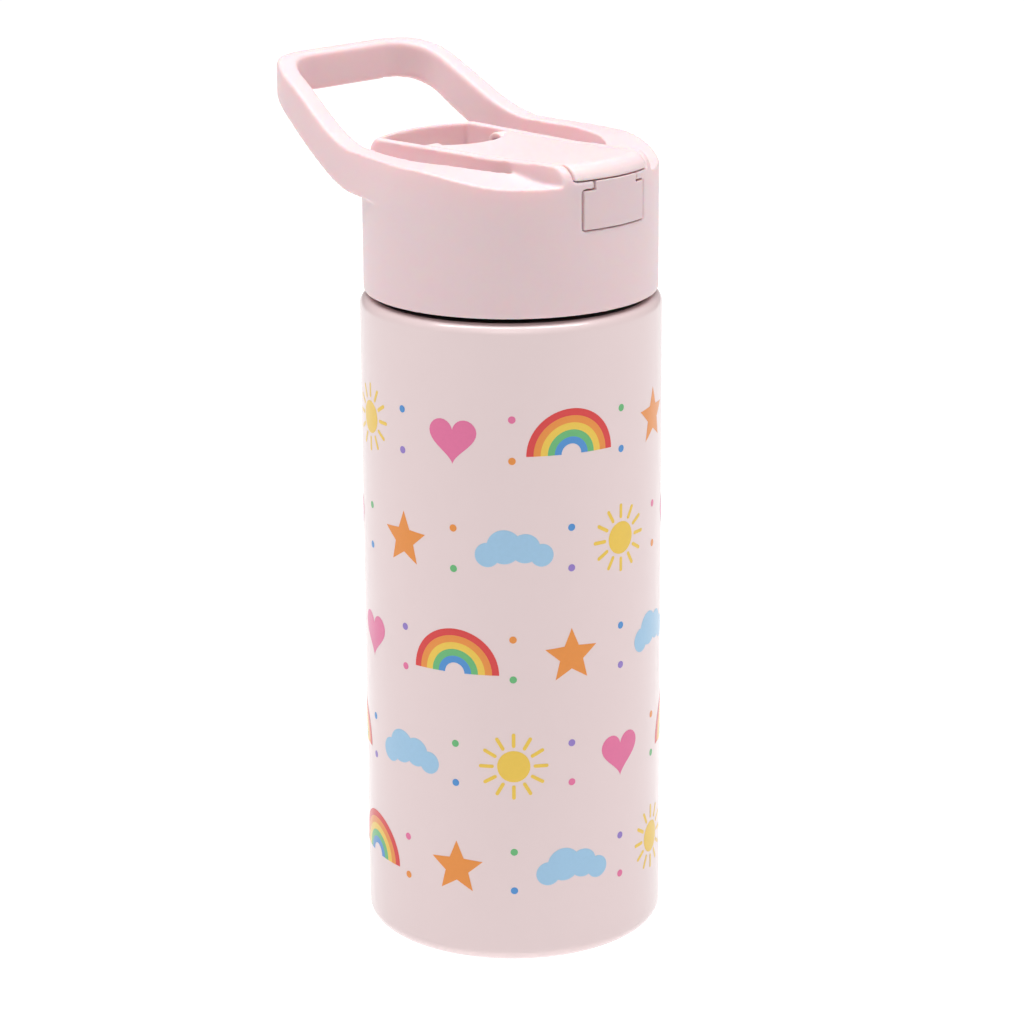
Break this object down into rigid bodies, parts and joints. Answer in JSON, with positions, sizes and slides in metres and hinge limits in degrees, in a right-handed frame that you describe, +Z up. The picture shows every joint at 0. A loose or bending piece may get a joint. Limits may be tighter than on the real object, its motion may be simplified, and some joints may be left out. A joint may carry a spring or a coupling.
{
  "type": "kids water bottle",
  "caption": "Insulated kids' drinking bottle with a screw lid, carry loop, push-button flip cover and straw spout.",
  "frame": {"origin": "middle of the foot, on the surface that the bottle stands on", "axes": "+Z up along the bottle's axis, -Y towards the lid's button, +Y towards the carry loop, +X to the right seen from the button side turned by hand"},
  "size_m": [0.073, 0.0978, 0.2123],
  "materials": {
    "painted_steel": "glossy pale pink powder coat with a printed pattern",
    "bare_steel": "satin drawn stainless steel",
    "getter_metal": "sintered grey metal",
    "solder": "matt metal bead",
    "pink_shell": "soft satin moulded polypropylene",
    "pink_cover": "soft satin moulded polypropylene",
    "pink_button": "soft satin moulded polypropylene",
    "white_plastic": "moulded natural polypropylene",
    "straw_plastic": "translucent extruded tube",
    "silicone": "soft matt silicone",
    "spout_silicone": "soft matt silicone",
    "foot_rubber": "matt silicone pad",
    "spring_steel": "drawn spring wire"
  },
  "bodies": {
    "bottle": {"outer_shell": "painted_steel", "base_disc": "bare_steel", "base_pad": "foot_rubber", "vacuum_plug": "solder", "getter": "getter_metal", "inner_flask": "bare_steel"},
    "lid": {"lid_shell": "pink_shell", "lid_insert": "white_plastic", "mouth_gasket": "silicone", "spout_seat": "white_plastic", "spout_gasket": "silicone", "straw_socket": "white_plastic", "straw": "straw_plastic", "vent_valve": "silicone", "cover_pins": "bare_steel", "cover_spring": "spring_steel", "button_spring": "spring_steel"},
    "cover": {"flip_cover": "pink_cover", "bite_pad": "silicone"},
    "button": {"latch_button": "pink_button"},
    "spout": {"mouthpiece": "spout_silicone"}
  },
  "joints": [
    {"name": "lid_lift", "type": "slide", "parent": "bottle", "child": "lid", "axis": [0, 0, 1], "range_m": [0, 0.172]},
    {"name": "cover_flip", "type": "hinge", "parent": "lid", "child": "cover", "pos_m": [0, 0.0146, 0.1923], "axis": [-1, 0, 0], "range_deg": [0, 110]},
    {"name": "button_press", "type": "slide", "parent": "lid", "child": "button", "axis": [0, 1, 0], "range_m": [0, 0.0016], "stiffness_N_per_m": 800, "springref_m": -0.001, "deforming": ["button_spring"]},
    {"name": "spout_rise", "type": "hinge", "parent": "lid", "child": "spout", "pos_m": [0, 0, 0.1876], "axis": [-1, 0, 0], "range_deg": [0, 80]}
  ],
  "couplings": [
    {"joint": "spout_rise", "follows": "cover_flip", "ratio": 0.72727}
  ]
}
